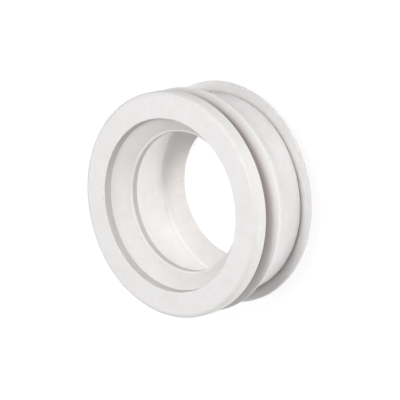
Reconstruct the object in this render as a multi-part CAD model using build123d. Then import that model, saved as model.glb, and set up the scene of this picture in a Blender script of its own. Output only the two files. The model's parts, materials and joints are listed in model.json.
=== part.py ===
from build123d import *
import math
import os

# Rubber flush cone: one moulded ring that seals a flush pipe into the inlet of a toilet pan.
# Millimetres. The ring's axis is Z. It stands on its rear end at Z = 0, with its mouth up.

# Sizes shared by the whole ring
length = 27.3
fin_diameter = 58.0
pipe_bore_diameter = 36.0

# Front ring and the mouth inside it
ring_width = 3.95
ring_face_width = 6.7
ring_front_round = 1.0
mouth_depth = 2.2
mouth_draft = 0.2

# Groove behind the front ring, narrow at its floor
groove_floor_width = 1.6
groove_depth = 3.8

# Middle fin, with a sloping front, a narrow crest and a swept root
fin_front_lean = 3.45
fin_crest_width = 0.25
fin_back_lean = 3.0
fin_root_round = 3.0

# Waist between the middle fin and the rear fin
waist_depth = 2.8
waist_wall = 2.2

# Narrow relief cut that lets the rear fin fold
relief_width = 0.75
relief_depth = 0.9

# Rear fin, thin and slightly dished in front
rear_fin_rim_width = 0.85
rear_fin_dish = 0.4
rear_fin_back_lean = 0.85

# Nose behind the rear fin
nose_length = 2.6
nose_taper = 0.9

# Front lip, a funnel that grips the pipe
lip_cone_length = 3.7
lip_nose_width = 0.6
lip_land = 1.9
lip_back_lean = 1.9

# Rear lip, a cone that leans out behind the nose
rear_lip_land = 1.0
rear_lip_cone_length = 2.32
rear_lip_back_length = 2.1
rear_lip_end_width = 0.6

# A corner with no rounding, and the most of a stretch that the roundings at its two ends may take
sharp = 0
rounding_share = 0.95

# Radii that follow from the sizes
fin_radius = fin_diameter / 2
bore_radius = pipe_bore_diameter / 2
mouth_radius = fin_radius - ring_face_width
mouth_floor_radius = mouth_radius - mouth_draft
groove_radius = fin_radius - groove_depth
waist_radius = fin_radius - waist_depth
relief_radius = waist_radius - relief_depth
nose_radius = waist_radius - nose_taper
hollow_radius = waist_radius - waist_wall

# Heights that follow from the sizes, from the mouth down
ring_back_height = length - ring_width
groove_end_height = ring_back_height - groove_floor_width
crest_front_height = groove_end_height - fin_front_lean
crest_back_height = crest_front_height - fin_crest_width
fin_root_height = crest_back_height - fin_back_lean
mouth_floor_height = length - mouth_depth
lip_front_height = mouth_floor_height - lip_cone_length
lip_back_height = lip_front_height - lip_land
hollow_front_height = lip_back_height + lip_back_lean

# Heights that follow from the sizes, from the rear end up
nose_end_height = rear_lip_back_length
rear_fin_root_height = nose_end_height + nose_length
rear_rim_back_height = rear_fin_root_height + rear_fin_back_lean
rear_rim_front_height = rear_rim_back_height + rear_fin_rim_width
relief_back_height = rear_rim_front_height - rear_fin_dish
relief_front_height = relief_back_height + relief_width
hollow_rear_height = rear_lip_land + rear_lip_cone_length


# Each function gives corners of the section as (radius, height, rounding), in order round the outline
def front_ring():
    return [
        (mouth_radius, length, sharp),
        (fin_radius, length, ring_front_round),
        (fin_radius, ring_back_height, sharp),
    ]


def groove():
    return [
        (groove_radius, ring_back_height, sharp),
        (groove_radius, groove_end_height, sharp),
    ]


def middle_fin():
    return [
        (fin_radius, crest_front_height, sharp),
        (fin_radius, crest_back_height, sharp),
        (waist_radius, fin_root_height, fin_root_round),
    ]


def relief_cut():
    return [
        (waist_radius, relief_front_height, sharp),
        (relief_radius, relief_front_height, sharp),
        (relief_radius, relief_back_height, sharp),
    ]


def rear_fin():
    return [
        (fin_radius, rear_rim_front_height, sharp),
        (fin_radius, rear_rim_back_height, sharp),
        (waist_radius, rear_fin_root_height, sharp),
    ]


def nose():
    return [(nose_radius, nose_end_height, sharp)]


def rear_lip():
    return [
        (bore_radius + rear_lip_end_width, 0, sharp),
        (bore_radius, 0, sharp),
        (bore_radius, rear_lip_land, sharp),
    ]


def hollow():
    return [
        (hollow_radius, hollow_rear_height, sharp),
        (hollow_radius, hollow_front_height, sharp),
    ]


def front_lip():
    return [
        (bore_radius, lip_back_height, sharp),
        (bore_radius, lip_front_height, sharp),
        (bore_radius + lip_nose_width, lip_front_height, sharp),
        (mouth_floor_radius, mouth_floor_height, sharp),
    ]


def tangent_lengths(corners):
    """How much of each neighbouring stretch the rounding at a corner takes up."""
    lengths = []
    for index, (radius, height, rounding) in enumerate(corners):
        before = corners[index - 1]
        after = corners[(index + 1) % len(corners)]
        way_in = math.atan2(height - before[1], radius - before[0])
        way_out = math.atan2(after[1] - height, after[0] - radius)
        turn = abs(math.remainder(way_out - way_in, math.tau))
        lengths.append(rounding * math.tan(turn / 2))
    return lengths


def fitted_roundings(corners):
    """The corners' roundings, made smaller where two of them would not fit on the stretch between."""
    taken = tangent_lengths(corners)
    scales = [1.0] * len(corners)
    for index, corner in enumerate(corners):
        room = rounding_share * math.dist(corner[:2], corners[index - 1][:2])
        wanted = taken[index] + taken[index - 1]
        if wanted > room:
            scales[index] = min(scales[index], room / wanted)
            scales[index - 1] = min(scales[index - 1], room / wanted)
    return [corner[2] * scale for corner, scale in zip(corners, scales)]


def section_corners():
    outside = front_ring() + groove() + middle_fin() + relief_cut() + rear_fin() + nose()
    inside = rear_lip() + hollow() + front_lip()
    return outside + inside


def flush_cone():
    corners = section_corners()
    points = [(radius, height) for radius, height, rounding in corners]
    with BuildPart() as ring:
        with BuildSketch(Plane.XZ):
            with BuildLine():
                FilletPolyline(*points, radius=fitted_roundings(corners), close=True)
            make_face()
        revolve(axis=Axis.Z)
    return ring.part


os.makedirs("parts", exist_ok=True)
cone = flush_cone()
cone.label = "flush_cone"
export_step(cone, "parts/flush_cone.step")
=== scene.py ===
import json
import math
import bmesh
import bpy
from mathutils import Matrix, Vector, noise


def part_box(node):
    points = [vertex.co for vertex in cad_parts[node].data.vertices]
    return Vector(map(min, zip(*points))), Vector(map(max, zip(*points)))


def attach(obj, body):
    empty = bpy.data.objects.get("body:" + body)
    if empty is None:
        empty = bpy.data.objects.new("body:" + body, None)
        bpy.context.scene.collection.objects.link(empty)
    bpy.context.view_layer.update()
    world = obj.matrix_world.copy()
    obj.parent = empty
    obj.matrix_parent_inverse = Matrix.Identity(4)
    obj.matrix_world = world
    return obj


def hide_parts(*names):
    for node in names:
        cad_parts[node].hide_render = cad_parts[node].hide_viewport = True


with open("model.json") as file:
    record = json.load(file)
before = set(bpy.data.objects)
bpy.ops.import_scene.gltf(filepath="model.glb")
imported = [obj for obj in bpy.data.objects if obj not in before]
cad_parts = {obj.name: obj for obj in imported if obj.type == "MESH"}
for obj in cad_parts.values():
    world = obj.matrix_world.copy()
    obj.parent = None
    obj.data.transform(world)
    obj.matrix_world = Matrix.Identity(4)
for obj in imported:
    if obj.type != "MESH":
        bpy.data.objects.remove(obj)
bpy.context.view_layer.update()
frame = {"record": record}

MM = 0.001

# Main sizes in millimetres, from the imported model
cad_low, cad_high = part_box("flush_cone")
LENGTH = (cad_high[2] - cad_low[2]) / MM
FIN_RADIUS = (cad_high[0] - cad_low[0]) / 2 / MM
BORE_RADIUS = frame["record"]["mounts"][0]["dims"]["r_mm"]

# Sizes of the section in millimetres, the same as in the part's source
RING_WIDTH = 3.95
RING_FACE_WIDTH = 6.7
RING_FRONT_ROUND = 1.0
MOUTH_DEPTH = 2.2
MOUTH_DRAFT = 0.2
GROOVE_FLOOR_WIDTH = 1.6
GROOVE_DEPTH = 3.8
FIN_FRONT_LEAN = 3.45
FIN_CREST_WIDTH = 0.25
FIN_BACK_LEAN = 3.0
FIN_ROOT_ROUND = 3.0
WAIST_DEPTH = 2.8
WAIST_WALL = 2.2
RELIEF_WIDTH = 0.75
RELIEF_DEPTH = 0.9
REAR_FIN_RIM_WIDTH = 0.85
REAR_FIN_DISH = 0.4
REAR_FIN_BACK_LEAN = 0.85
NOSE_LENGTH = 2.6
NOSE_TAPER = 0.9
LIP_CONE_LENGTH = 3.7
LIP_NOSE_WIDTH = 0.6
LIP_LAND = 1.9
LIP_BACK_LEAN = 1.9
REAR_LIP_LAND = 1.0
REAR_LIP_CONE_LENGTH = 2.32
REAR_LIP_BACK_LENGTH = 2.1
REAR_LIP_END_WIDTH = 0.6

# Roundings in millimetres that are only here
THIN_EDGE_ROUND = 0.12
EDGE_ROUND = 0.15
SOFT_EDGE_ROUND = 0.2
LIP_NOSE_ROUND = 0.25
GROOVE_ROUND = 0.3
LIP_BORE_ROUND = 0.48
REAR_FIN_ROOT_ROUND = 0.8
NOSE_ROUND = 1.2
HOLLOW_FRONT_ROUND = 1.2

# Radii that follow from the sizes
MOUTH_RADIUS = FIN_RADIUS - RING_FACE_WIDTH
MOUTH_FLOOR_RADIUS = MOUTH_RADIUS - MOUTH_DRAFT
GROOVE_RADIUS = FIN_RADIUS - GROOVE_DEPTH
WAIST_RADIUS = FIN_RADIUS - WAIST_DEPTH
RELIEF_RADIUS = WAIST_RADIUS - RELIEF_DEPTH
NOSE_RADIUS = WAIST_RADIUS - NOSE_TAPER
HOLLOW_RADIUS = WAIST_RADIUS - WAIST_WALL
LIP_NOSE_RADIUS = BORE_RADIUS + LIP_NOSE_WIDTH
REAR_LIP_END_RADIUS = BORE_RADIUS + REAR_LIP_END_WIDTH

# Heights that follow from the sizes, from the mouth down
RING_BACK = LENGTH - RING_WIDTH
GROOVE_END = RING_BACK - GROOVE_FLOOR_WIDTH
CREST_FRONT = GROOVE_END - FIN_FRONT_LEAN
CREST_BACK = CREST_FRONT - FIN_CREST_WIDTH
FIN_ROOT = CREST_BACK - FIN_BACK_LEAN
MOUTH_FLOOR = LENGTH - MOUTH_DEPTH
LIP_FRONT = MOUTH_FLOOR - LIP_CONE_LENGTH
LIP_BACK = LIP_FRONT - LIP_LAND
HOLLOW_FRONT = LIP_BACK + LIP_BACK_LEAN

# Heights that follow from the sizes, from the rear end up
HOLLOW_REAR = REAR_LIP_LAND + REAR_LIP_CONE_LENGTH
NOSE_END = REAR_LIP_BACK_LENGTH
REAR_FIN_ROOT = NOSE_END + NOSE_LENGTH
REAR_RIM_BACK = REAR_FIN_ROOT + REAR_FIN_BACK_LEAN
REAR_RIM_FRONT = REAR_RIM_BACK + REAR_FIN_RIM_WIDTH
RELIEF_BACK = REAR_RIM_FRONT - REAR_FIN_DISH
RELIEF_FRONT = RELIEF_BACK + RELIEF_WIDTH

# Mesh density, in millimetres apart from the first three
SEGMENTS = 288
ARC_STEP = math.radians(15)
FEWEST_ARC_STEPS = 2
LONGEST_STRETCH = 1.2
HOLDING_EDGE = 0.06
SHORTEST_SPLIT = 8 * HOLDING_EDGE

# Outer corners rounded by less than this are worn edges
WORN_ROUND = 0.5

# Unevenness of the moulding, in millimetres, with how often its noise repeats
OUT_OF_ROUND = 0.10
OUT_OF_ROUND_RATE = 1.4
RAGGED_EDGE = 0.13
RAGGED_RATE = 28
RAGGED_REACH = 0.3
RAGGED_MIDDLE = math.radians(98)
RAGGED_HALF_WIDTH = math.radians(22)
RAGGED_FULL_SHARE = 0.4

# Painted shade on each surface, from 0 to 1: colour darkened where shade falls in recesses, and where light
# on the lip's nose and the ring's side and face is toned down
RELIEF_SHADE = 0.15
MOUTH_WALL_SHADE = 0.4
FUNNEL_SHADE = 0.18
LIP_NOSE_SHADE = 0.3
LIP_LAND_SHADE = 0.68
RING_SIDE_SHADE = 0.12
RING_FACE_SHADE = 0.05
REAR_CONE_SHADE = 0.2

# Depths in millimetres between which the groove's painted shade grows from none to full
GROOVE_SHADE_START = 0.4
GROOVE_SHADE_FULL = 2.2

# How far from a surface's corners a point still belongs to it, in millimetres
CLOSE = 0.05
NEAR = 0.1
LIP_NOSE_ABOVE = 0.2
LIP_NOSE_BELOW = 0.3
LIP_NOSE_BESIDE = 0.3
REAR_CONE_SHORT_OF = 0.2


def section_corners():
    """Corners of the section as (radius, height, rounding), in order round the outline."""
    outside = [
        (MOUTH_RADIUS, LENGTH, EDGE_ROUND),
        (FIN_RADIUS, LENGTH, RING_FRONT_ROUND),
        (FIN_RADIUS, RING_BACK, GROOVE_ROUND),
        (GROOVE_RADIUS, RING_BACK, GROOVE_ROUND),
        (GROOVE_RADIUS, GROOVE_END, GROOVE_ROUND),
        (FIN_RADIUS, CREST_FRONT, THIN_EDGE_ROUND),
        (FIN_RADIUS, CREST_BACK, THIN_EDGE_ROUND),
        (WAIST_RADIUS, FIN_ROOT, FIN_ROOT_ROUND),
        (WAIST_RADIUS, RELIEF_FRONT, THIN_EDGE_ROUND),
        (RELIEF_RADIUS, RELIEF_FRONT, SOFT_EDGE_ROUND),
        (RELIEF_RADIUS, RELIEF_BACK, SOFT_EDGE_ROUND),
        (FIN_RADIUS, REAR_RIM_FRONT, EDGE_ROUND),
        (FIN_RADIUS, REAR_RIM_BACK, SOFT_EDGE_ROUND),
        (WAIST_RADIUS, REAR_FIN_ROOT, REAR_FIN_ROOT_ROUND),
        (NOSE_RADIUS, NOSE_END, NOSE_ROUND),
    ]
    inside = [
        (REAR_LIP_END_RADIUS, 0, SOFT_EDGE_ROUND),
        (BORE_RADIUS, 0, SOFT_EDGE_ROUND),
        (BORE_RADIUS, REAR_LIP_LAND, SOFT_EDGE_ROUND),
        (HOLLOW_RADIUS, HOLLOW_REAR, THIN_EDGE_ROUND),
        (HOLLOW_RADIUS, HOLLOW_FRONT, HOLLOW_FRONT_ROUND),
        (BORE_RADIUS, LIP_BACK, EDGE_ROUND),
        (BORE_RADIUS, LIP_FRONT, LIP_BORE_ROUND),
        (LIP_NOSE_RADIUS, LIP_FRONT, LIP_NOSE_ROUND),
        (MOUTH_FLOOR_RADIUS, MOUTH_FLOOR, EDGE_ROUND),
    ]
    return outside + inside


def rounded_corner(before, corner, after, rounding):
    """Points of the arc that rounds a corner, each with its weight as a worn edge."""
    way_in = (corner - before).normalized()
    way_out = (after - corner).normalized()
    turn = math.atan2(way_in.cross(way_out), way_in.dot(way_out))
    reach = rounding * math.tan(abs(turn) / 2)
    start = corner - way_in * reach
    side = math.copysign(1, turn)
    centre = start + Vector((-way_in.y, way_in.x)) * rounding * side
    steps = max(FEWEST_ARC_STEPS, math.ceil(abs(turn) / ARC_STEP))
    arm = start - centre
    edge = 1.0 if turn < 0 and rounding < WORN_ROUND else 0.0
    points = []
    for step in range(steps + 1):
        points.append((centre + Matrix.Rotation(turn * step / steps, 2) @ arm, edge))
    return points


def places_between(stretch):
    """Shares of a stretch at which it is split: close to its ends, so that it shades flat, and between."""
    if stretch < SHORTEST_SPLIT:
        return []
    inner = stretch - 2 * HOLDING_EDGE
    pieces = math.ceil(inner / LONGEST_STRETCH)
    return [(HOLDING_EDGE + inner * piece / pieces) / stretch for piece in range(pieces + 1)]


def outline():
    """The rounded section in millimetres: a closed list of points, each with its edge weight."""
    corners = section_corners()
    rounded = []
    for index, (radius, height, rounding) in enumerate(corners):
        before = Vector(corners[index - 1][:2])
        after = Vector(corners[(index + 1) % len(corners)][:2])
        rounded += rounded_corner(before, Vector((radius, height)), after, rounding)
    filled = []
    for index, (point, edge) in enumerate(rounded):
        following = rounded[(index + 1) % len(rounded)][0]
        filled.append((point, edge))
        for place in places_between((following - point).length):
            filled.append((point.lerp(following, place), 0.0))
    return filled


def share(value, low, high):
    """Where a value lies between two others, from 0 to 1."""
    return min(1.0, max(0.0, (value - low) / (high - low)))


def painted_shade(point):
    """How much painted shade a point of the section holds, from 0 to 1: strongest far down in the groove,
    where shade falls.
    """
    radius, height = point
    # Painted shade in the groove, darker the further down a point lies
    if CREST_FRONT < height < RING_BACK + CLOSE and radius > GROOVE_RADIUS - NEAR:
        return share(FIN_RADIUS - radius, GROOVE_SHADE_START, GROOVE_SHADE_FULL)
    # Painted shade in the relief at the rear fin's root
    if RELIEF_BACK - CLOSE < height < RELIEF_FRONT + CLOSE and RELIEF_RADIUS - NEAR < radius < WAIST_RADIUS:
        return RELIEF_SHADE
    # Painted shade on the mouth's wall
    if MOUTH_FLOOR + NEAR < height < LENGTH - CLOSE and radius < MOUTH_RADIUS + CLOSE:
        return MOUTH_WALL_SHADE
    # Painted shade on the funnel, warmer and darker towards the bore
    if LIP_FRONT + NEAR < height < MOUTH_FLOOR + NEAR and LIP_NOSE_RADIUS < radius < MOUTH_RADIUS:
        return FUNNEL_SHADE * share(radius, MOUTH_FLOOR_RADIUS, LIP_NOSE_RADIUS)
    nose_low, nose_high = LIP_FRONT - LIP_NOSE_BELOW, LIP_FRONT + LIP_NOSE_ABOVE
    # Painted shade that dims the highlight on the lip's nose
    if nose_low <= height < nose_high and radius < LIP_NOSE_RADIUS + LIP_NOSE_BESIDE:
        return LIP_NOSE_SHADE
    # Painted shade on the lip's land
    if LIP_BACK + CLOSE < height < nose_low and radius < BORE_RADIUS + CLOSE:
        return LIP_LAND_SHADE
    # Painted shade that dims the light on the ring's side and front rounding
    if height > RING_BACK + GROOVE_ROUND and radius > FIN_RADIUS - RING_FRONT_ROUND:
        return RING_SIDE_SHADE
    # Painted shade that dims the ring's front face slightly
    if height > LENGTH - CLOSE:
        return RING_FACE_SHADE
    # Painted shade on the rear lip's cone
    rear_cone = BORE_RADIUS + (HOLLOW_RADIUS - BORE_RADIUS) * share(height, REAR_LIP_LAND, HOLLOW_REAR)
    if REAR_LIP_LAND < height < HOLLOW_REAR - REAR_CONE_SHORT_OF and abs(radius - rear_cone) < NEAR:
        return REAR_CONE_SHADE
    return 0.0


def uneven_radius(point, angle):
    """The radius of a point of the section at one angle, with the moulding's unevenness."""
    around = Vector((math.cos(angle), math.sin(angle), point.y / LENGTH))
    radius = point.x + OUT_OF_ROUND * noise.noise(around * OUT_OF_ROUND_RATE)
    from_lip_edge = math.hypot(point.x - BORE_RADIUS, point.y - LIP_BACK)
    from_middle = abs(angle - RAGGED_MIDDLE)
    if from_lip_edge < RAGGED_REACH and from_middle < RAGGED_HALF_WIDTH:
        fade = 1 - share(from_middle, RAGGED_FULL_SHARE * RAGGED_HALF_WIDTH, RAGGED_HALF_WIDTH)
        radius += RAGGED_EDGE * fade * noise.noise(around * RAGGED_RATE)
    return radius


def ring_mesh(name, points):
    """A closed ring swept round Z from the outline, with worn-edge and painted-shade weights on its
    vertices.
    """
    mesh = bpy.data.meshes.new(name)
    body = bmesh.new()
    rows = []
    for segment in range(SEGMENTS):
        angle = math.tau * segment / SEGMENTS
        row = []
        for point, edge in points:
            radius = uneven_radius(point, angle) * MM
            row.append(body.verts.new((radius * math.cos(angle), radius * math.sin(angle), point.y * MM)))
        rows.append(row)
    for segment, row in enumerate(rows):
        following = rows[(segment + 1) % SEGMENTS]
        for index in range(len(points)):
            onward = (index + 1) % len(points)
            body.faces.new((row[index], following[index], following[onward], row[onward]))
    bmesh.ops.recalc_face_normals(body, faces=body.faces)
    body.to_mesh(mesh)
    body.free()
    mesh.shade_smooth()
    edges = [edge for point, edge in points]
    # Weights of painted shade, which the material turns into darker colour
    painted_shade_weights = [painted_shade(point) for point, edge in points]
    mesh.attributes.new("edge", "FLOAT", "POINT").data.foreach_set("value", edges * SEGMENTS)
    mesh.attributes.new("painted_shade", "FLOAT", "POINT").data.foreach_set("value", painted_shade_weights * SEGMENTS)
    return mesh


# Colours of the rubber, in linear light
RUBBER_LOW = (0.79, 0.778, 0.772, 1)
RUBBER_HIGH = (0.89, 0.883, 0.88, 1)
RUBBER_EDGE = (0.92, 0.915, 0.91, 1)
# Dark warm colour of the painted shade, also used for the rear fin's fine rings
RUBBER_SHADE_AND_RING_LINES = (0.39, 0.335, 0.315, 1)
SPECK_COLOUR = (0.38, 0.35, 0.33, 1)

# How much of these colours shows where they are at their fullest
EDGE_SHARE = 0.15
# Painted shade at its fullest
PAINTED_SHADE_SHARE = 0.9
FIN_LINE_SHARE = 0.14
# Painted shadow at the rear fin's root
FIN_ROOT_SHADOW = 0.25

# Noises of the rubber, as (scale per metre, detail), and the range of their sum that the colours span
MOTTLE = (110, 3)
CLOUD = (520, 4)
GRAIN = (2600, 2)
COLOUR_RANGE = (0.9, 2.1)

# Roughness, between two values of the coarser noises' sum, and how much smoother a worn edge is
ROUGH_RANGE = (0.6, 1.4)
ROUGHNESS = (0.48, 0.64)
EDGE_SMOOTHER = 0.05

# Bump, with heights relative to the grain's and its depth in millimetres
CLOUD_BUMP = 0.8
FIN_LINE_BUMP = 0.9
BUMP_STRENGTH = 0.5
BUMP_DEPTH = 0.05

# Light that enters the rubber, with its reach in millimetres
SUBSURFACE_SHARE = 0.25
SUBSURFACE_TINT = (1.0, 0.95, 0.93)
SUBSURFACE_REACH = 1.2

# Single specks, as (radius, angle in degrees, height)
SPECKS = [
    (22.8, 60.4, LENGTH),
    (22.7, 74.6, LENGTH),
    (18.9, 72.5, 1.36),
    (19.9, 84.3, 1.73),
    (28.4, -26.2, REAR_RIM_FRONT),
]
SPECK_RADIUS = 0.16
SPECK_CORE = 0.6

# Fine specks strewn by a pattern
FINE_SPECK_SCALE = 240
FINE_SPECK_SIZE = 0.5
FINE_SPECK_SHARE = 0.6

# Front of the rear fin, in millimetres
FIN_FRONT_SLACK = 0.3
FIN_LINE_PITCH = 1.1
FIN_LINE_START = 0.8
# Width over which the painted shadow at the fin's root fades
FIN_ROOT_FADE = 1.0

ORIGIN = Vector((0, 0, 0))
UP = Vector((0, 0, 1))
LEVEL_PLANE = Vector((1, 1, 0))


class Fields:
    """Short ways to add and join the nodes of one material or of the world."""

    def __init__(self, tree):
        self.tree = tree
        self.place = tree.nodes.new("ShaderNodeTexCoord").outputs["Object"]

    def feed(self, socket, value):
        if isinstance(value, bpy.types.NodeSocket):
            self.tree.links.new(value, socket)
        else:
            socket.default_value = value

    def noise(self, scale, detail):
        made = self.tree.nodes.new("ShaderNodeTexNoise")
        self.feed(made.inputs["Vector"], self.place)
        self.feed(made.inputs["Scale"], scale)
        self.feed(made.inputs["Detail"], detail)
        return made.outputs[0]

    def dots(self, scale):
        made = self.tree.nodes.new("ShaderNodeTexVoronoi")
        self.feed(made.inputs["Vector"], self.place)
        self.feed(made.inputs["Scale"], scale)
        return made.outputs["Distance"]

    def maths(self, operation, *values):
        made = self.tree.nodes.new("ShaderNodeMath")
        made.operation = operation
        for socket, value in zip(made.inputs, values):
            self.feed(socket, value)
        return made.outputs[0]

    def vector(self, operation, first, second, output):
        made = self.tree.nodes.new("ShaderNodeVectorMath")
        made.operation = operation
        self.feed(made.inputs[0], first)
        self.feed(made.inputs[1], second)
        return made.outputs[output]

    def spread(self, value, low, high, new_low, new_high):
        made = self.tree.nodes.new("ShaderNodeMapRange")
        for socket, given in zip(made.inputs, (value, low, high, new_low, new_high)):
            self.feed(socket, given)
        return made.outputs[0]

    def blend(self, second_share, first, second):
        """A mix of two colours, by the places of the Mix node's colour sockets."""
        made = self.tree.nodes.new("ShaderNodeMix")
        made.data_type = "RGBA"
        self.feed(made.inputs[0], second_share)
        self.feed(made.inputs[6], first)
        self.feed(made.inputs[7], second)
        return made.outputs[2]

    def weight(self, name):
        made = self.tree.nodes.new("ShaderNodeAttribute")
        made.attribute_name = name
        return made.outputs["Fac"]

    def flat(self):
        return self.vector("MULTIPLY", self.place, LEVEL_PLANE, "Vector")

    def seen(self):
        path = self.tree.nodes.new("ShaderNodeLightPath")
        either = self.maths("MAXIMUM", path.outputs["Is Camera Ray"], path.outputs["Is Glossy Ray"])
        return self.maths("MAXIMUM", either, path.outputs["Is Transmission Ray"])


def speck_field(fields):
    """1 on a speck and 0 elsewhere: the single specks, and paler fine ones in a pattern."""
    size = SPECK_RADIUS * FINE_SPECK_SIZE * MM * FINE_SPECK_SCALE
    specks = fields.spread(fields.dots(FINE_SPECK_SCALE), size * SPECK_CORE, size, FINE_SPECK_SHARE, 0.0)
    for radius, angle, height in SPECKS:
        turn = math.radians(angle)
        spot = Vector((radius * math.cos(turn), radius * math.sin(turn), height)) * MM
        away = fields.vector("DISTANCE", fields.place, spot, "Value")
        single = fields.spread(away, SPECK_RADIUS * SPECK_CORE * MM, SPECK_RADIUS * MM, 1.0, 0.0)
        specks = fields.maths("MAXIMUM", specks, single)
    return specks


def fin_front_fields(fields):
    """The front of the rear fin: fine rings on its outer part, and a painted shadow that fades from its
    root.
    """
    radius = fields.vector("LENGTH", fields.flat(), ORIGIN, "Value")
    level = fields.vector("DOT_PRODUCT", fields.place, UP, "Value")
    middle = (RELIEF_BACK + REAR_RIM_FRONT) / 2 * MM
    front = fields.maths("COMPARE", level, middle, FIN_FRONT_SLACK * MM)
    wave = fields.maths("SINE", fields.maths("MULTIPLY", radius, math.tau / (FIN_LINE_PITCH * MM)))
    outer = fields.maths("GREATER_THAN", radius, (WAIST_RADIUS + FIN_LINE_START) * MM)
    rings = fields.maths("MULTIPLY", wave, fields.maths("MULTIPLY", outer, front))
    # Painted shadow at the rear fin's root, kept off the hollow's inner wall
    outside = fields.maths("GREATER_THAN", radius, (HOLLOW_RADIUS + RELIEF_RADIUS) / 2 * MM)
    near_root = fields.spread(radius, WAIST_RADIUS * MM, (WAIST_RADIUS + FIN_ROOT_FADE) * MM, 1.0, 0.0)
    root = fields.maths("MULTIPLY", near_root, fields.maths("MULTIPLY", outside, front))
    return rings, root


def rubber_material():
    """White rubber: mottled, finely grained, slightly translucent, worn at edges, with painted shade in its
    recesses and a painted shadow at the rear fin's root.
    """
    material = bpy.data.materials.new("white_rubber")
    material.use_nodes = True
    tree = material.node_tree
    shader = tree.nodes["Principled BSDF"]
    fields = Fields(tree)
    mottle = fields.noise(*MOTTLE)
    cloud = fields.noise(*CLOUD)
    grain = fields.noise(*GRAIN)
    edge = fields.weight("edge")
    rings, root = fin_front_fields(fields)
    # Painted shade from the vertex weights, with the painted shadow at the rear fin's root
    painted_shade_amount = fields.weight("painted_shade")
    painted_shade_amount = fields.maths("MAXIMUM", painted_shade_amount, fields.maths("MULTIPLY", root, FIN_ROOT_SHADOW))

    mixed = fields.maths("ADD", mottle, cloud)
    mixed = fields.maths("ADD", mixed, grain)
    colour = fields.blend(fields.spread(mixed, *COLOUR_RANGE, 0.0, 1.0), RUBBER_LOW, RUBBER_HIGH)
    colour = fields.blend(fields.maths("MULTIPLY", edge, EDGE_SHARE), colour, RUBBER_EDGE)
    # Colour darkened towards the painted shade colour
    colour = fields.blend(fields.maths("MULTIPLY", painted_shade_amount, PAINTED_SHADE_SHARE), colour, RUBBER_SHADE_AND_RING_LINES)
    lines = fields.maths("MULTIPLY", fields.maths("ABSOLUTE", rings), FIN_LINE_SHARE)
    colour = fields.blend(lines, colour, RUBBER_SHADE_AND_RING_LINES)
    colour = fields.blend(speck_field(fields), colour, SPECK_COLOUR)
    fields.feed(shader.inputs["Base Color"], colour)

    rough = fields.spread(fields.maths("ADD", cloud, mottle), *ROUGH_RANGE, *ROUGHNESS)
    smoother = fields.maths("MULTIPLY", edge, EDGE_SMOOTHER)
    fields.feed(shader.inputs["Roughness"], fields.maths("SUBTRACT", rough, smoother))

    relief = fields.maths("ADD", grain, fields.maths("MULTIPLY", cloud, CLOUD_BUMP))
    relief = fields.maths("ADD", relief, fields.maths("MULTIPLY", rings, FIN_LINE_BUMP))
    bump = tree.nodes.new("ShaderNodeBump")
    bump.inputs["Strength"].default_value = BUMP_STRENGTH
    bump.inputs["Distance"].default_value = BUMP_DEPTH * MM
    fields.feed(bump.inputs["Height"], relief)
    fields.feed(shader.inputs["Normal"], bump.outputs["Normal"])

    shader.inputs["Subsurface Weight"].default_value = SUBSURFACE_SHARE
    shader.inputs["Subsurface Radius"].default_value = SUBSURFACE_TINT
    shader.inputs["Subsurface Scale"].default_value = SUBSURFACE_REACH * MM
    return material


ring = bpy.data.objects.new("rubber_ring", ring_mesh("rubber_ring", outline()))
bpy.context.scene.collection.objects.link(ring)
ring.data.materials.append(rubber_material())
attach(ring, "root")
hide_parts("flush_cone")

WHITE = (1, 1, 1, 1)

# Floor, in metres: a square just under the ring
FLOOR_HALF = 1.5
FLOOR_LEVEL = -0.00005
FLOOR_CORNERS = ((-1, -1), (1, -1), (1, 1), (-1, 1))

# What the camera sees of the floor: paint that takes the ring's shadow, and a glow that is white far out
SEEN_PAINT = 0.15
SEEN_NEAR = 0.2
SEEN_FAR = 0.6
SEEN_NEAR_GLOW = 0.9
SEEN_FAR_GLOW = 1.0

# What the ring gets from the floor: paint, and a glow that is dimmer on one side and brighter in the hole
FLOOR_PAINT = 0.8
GLOW_TINT = (1, 0.985, 0.98, 1)
FAR_FLOOR = 0.045
FLOOR_GLOW = 0.53
FLOOR_SWING = 0.49
DIM_SIDE = math.radians(25)
HOLE_GLOW = 1.32


def floor_glow(fields, out):
    """Strength of the light that the floor sends to the ring."""
    way = fields.vector("NORMALIZE", fields.flat(), ORIGIN, "Vector")
    dim_way = Vector((math.cos(DIM_SIDE), math.sin(DIM_SIDE), 0))
    swing = fields.maths("MULTIPLY", fields.vector("DOT_PRODUCT", way, dim_way, "Value"), FLOOR_SWING)
    around = fields.maths("SUBTRACT", FLOOR_GLOW, swing)
    around = fields.maths("MULTIPLY", around, fields.spread(out, FIN_RADIUS * MM, FAR_FLOOR, 0.0, 1.0))
    hole = fields.maths("MULTIPLY", fields.maths("LESS_THAN", out, BORE_RADIUS * MM), HOLE_GLOW)
    return fields.maths("ADD", around, hole)


def glowing_paint(fields, paint, tint, strength):
    """A matt paint that also sends out light."""
    tree = fields.tree
    diffuse = tree.nodes.new("ShaderNodeBsdfDiffuse")
    diffuse.inputs["Color"].default_value = (paint, paint, paint, 1)
    emission = tree.nodes.new("ShaderNodeEmission")
    fields.feed(emission.inputs["Color"], tint)
    fields.feed(emission.inputs["Strength"], strength)
    both = tree.nodes.new("ShaderNodeAddShader")
    tree.links.new(diffuse.outputs[0], both.inputs[0])
    tree.links.new(emission.outputs[0], both.inputs[1])
    return both.outputs[0]


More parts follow.
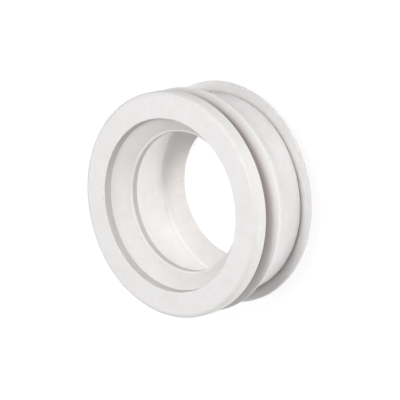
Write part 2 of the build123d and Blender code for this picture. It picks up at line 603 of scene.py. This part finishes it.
def floor_material():
    """A white floor: it shows white with the ring's faint shadow, and it lights the ring from below."""
    material = bpy.data.materials.new("floor_white")
    material.use_nodes = True
    tree = material.node_tree
    tree.nodes.clear()
    fields = Fields(tree)
    out = fields.vector("LENGTH", fields.flat(), ORIGIN, "Value")
    seen_glow = fields.spread(out, SEEN_NEAR, SEEN_FAR, SEEN_NEAR_GLOW, SEEN_FAR_GLOW)
    lighting = glowing_paint(fields, FLOOR_PAINT, GLOW_TINT, floor_glow(fields, out))
    showing = glowing_paint(fields, SEEN_PAINT, WHITE, seen_glow)
    choose = tree.nodes.new("ShaderNodeMixShader")
    output = tree.nodes.new("ShaderNodeOutputMaterial")
    fields.feed(choose.inputs["Fac"], fields.seen())
    tree.links.new(lighting, choose.inputs[1])
    tree.links.new(showing, choose.inputs[2])
    tree.links.new(choose.outputs[0], output.inputs["Surface"])
    return material


floor_mesh = bpy.data.meshes.new("floor")
floor_places = [(x * FLOOR_HALF, y * FLOOR_HALF, FLOOR_LEVEL) for x, y in FLOOR_CORNERS]
floor_mesh.from_pydata(floor_places, [], [(0, 1, 2, 3)])
floor = bpy.data.objects.new("floor", floor_mesh)
bpy.context.scene.collection.objects.link(floor)
floor.data.materials.append(floor_material())

# World: white where it is seen, and a faint light on the ring
WORLD_LIGHT = 0.02
world = bpy.data.worlds.new("studio")
bpy.context.scene.world = world
world.use_nodes = True
sky = world.node_tree.nodes["Background"]
sky.inputs["Color"].default_value = WHITE
sky_fields = Fields(world.node_tree)
sky_fields.feed(sky.inputs["Strength"], sky_fields.maths("MAXIMUM", sky_fields.seen(), WORLD_LIGHT))

# Lamps, as (name, way out from the middle of the ring, size in metres, watts)
LAMPS = [
    ("key", Vector((0.251, -0.359, 0.899)), 0.30, 4.0),
    ("fill", Vector((0.060, 0.337, 0.940)), 0.35, 3.2),
    ("side", Vector((0, -0.866, 0.500)), 0.40, 2.0),
]
LAMP_DISTANCE = 0.9
LAMP_TARGET = Vector((0, 0, LENGTH / 2 * MM))

for name, way, size, watts in LAMPS:
    lamp = bpy.data.lights.new(name, "AREA")
    lamp.shape = "DISK"
    lamp.size = size
    lamp.energy = watts
    holder = bpy.data.objects.new(name, lamp)
    holder.location = LAMP_TARGET + way.normalized() * LAMP_DISTANCE
    holder.rotation_euler = way.to_track_quat("Z", "Y").to_euler()
    bpy.context.scene.collection.objects.link(holder)

# Camera, set by where the mouth's centre falls in a picture 400 pixels wide
PICTURE = 400
FOCAL_PIXELS = 2400
MOUTH_CENTRE_PIXEL = (168.3, 205.9)
MOUTH_DISTANCE = 0.60512
AXIS_TILT = math.radians(43.30)
AXIS_ROLL = math.radians(104.42)
SENSOR = 36
camera_data = bpy.data.cameras.new("camera")
camera_data.sensor_width = SENSOR
camera_data.lens = SENSOR * FOCAL_PIXELS / PICTURE
camera = bpy.data.objects.new("camera", camera_data)
bpy.context.scene.collection.objects.link(camera)
camera_turn = Matrix.Rotation(AXIS_TILT, 3, "X") @ Matrix.Rotation(-AXIS_ROLL, 3, "Z")
pixel_size = MOUTH_DISTANCE / FOCAL_PIXELS
aside = (MOUTH_CENTRE_PIXEL[0] - PICTURE / 2) * pixel_size
below = (MOUTH_CENTRE_PIXEL[1] - PICTURE / 2) * pixel_size
mouth_centre = Vector((0, 0, LENGTH * MM))
camera_place = mouth_centre - camera_turn @ Vector((aside, -below, -MOUTH_DISTANCE))
camera.matrix_world = Matrix.Translation(camera_place) @ camera_turn.to_4x4()
bpy.context.scene.camera = camera
bpy.context.scene.view_settings.view_transform = "Standard"
